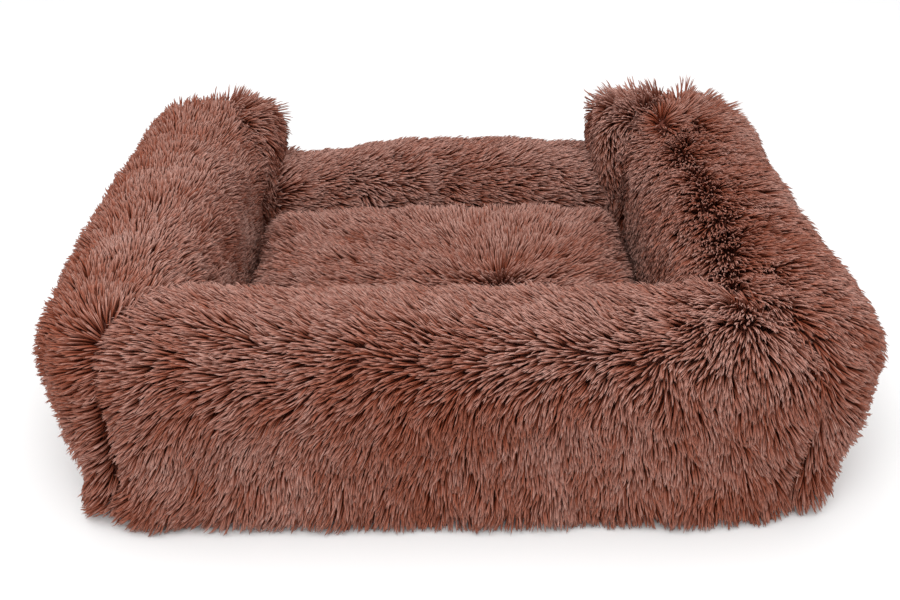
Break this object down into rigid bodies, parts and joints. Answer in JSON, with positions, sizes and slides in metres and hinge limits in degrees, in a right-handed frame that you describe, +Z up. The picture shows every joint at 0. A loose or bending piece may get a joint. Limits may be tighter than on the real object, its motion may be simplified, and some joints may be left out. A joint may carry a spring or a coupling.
{
  "type": "pet cushion bed",
  "caption": "Rectangular plush pet bed: stuffed walls round a lift-out cushion, with one low wall as the way in.",
  "frame": {"origin": "centre of the underside, on the floor", "axes": "+Z up, +Y towards the entrance, -Y towards the high rear wall, +X to the right seen from the rear"},
  "size_m": [0.5992, 0.49, 0.165],
  "materials": {
    "plush": "matte",
    "cushion_plush": "matte",
    "filling": "matte",
    "nonslip_cloth": "matte",
    "lining_cloth": "matte",
    "thread": "matte"
  },
  "bodies": {
    "bed": {"rear_wall_cover": "plush", "left_wall_cover": "plush", "right_wall_cover": "plush", "left_post_cover": "plush", "right_post_cover": "plush", "entrance_sill_cover": "plush", "rear_wall_filling": "filling", "left_wall_filling": "filling", "right_wall_filling": "filling", "left_post_filling": "filling", "right_post_filling": "filling", "entrance_sill_filling": "filling", "base_cloth": "nonslip_cloth", "base_wadding": "filling", "base_lining": "lining_cloth"},
    "cushion": {"cushion_top_cover": "cushion_plush", "cushion_underside": "lining_cloth", "cushion_filling": "filling", "cushion_tack_stitch": "thread"}
  },
  "joints": [
    {"name": "cushion_lift", "type": "slide", "parent": "bed", "child": "cushion", "axis": [0, 0, 1], "range_m": [0, 0.22]}
  ]
}
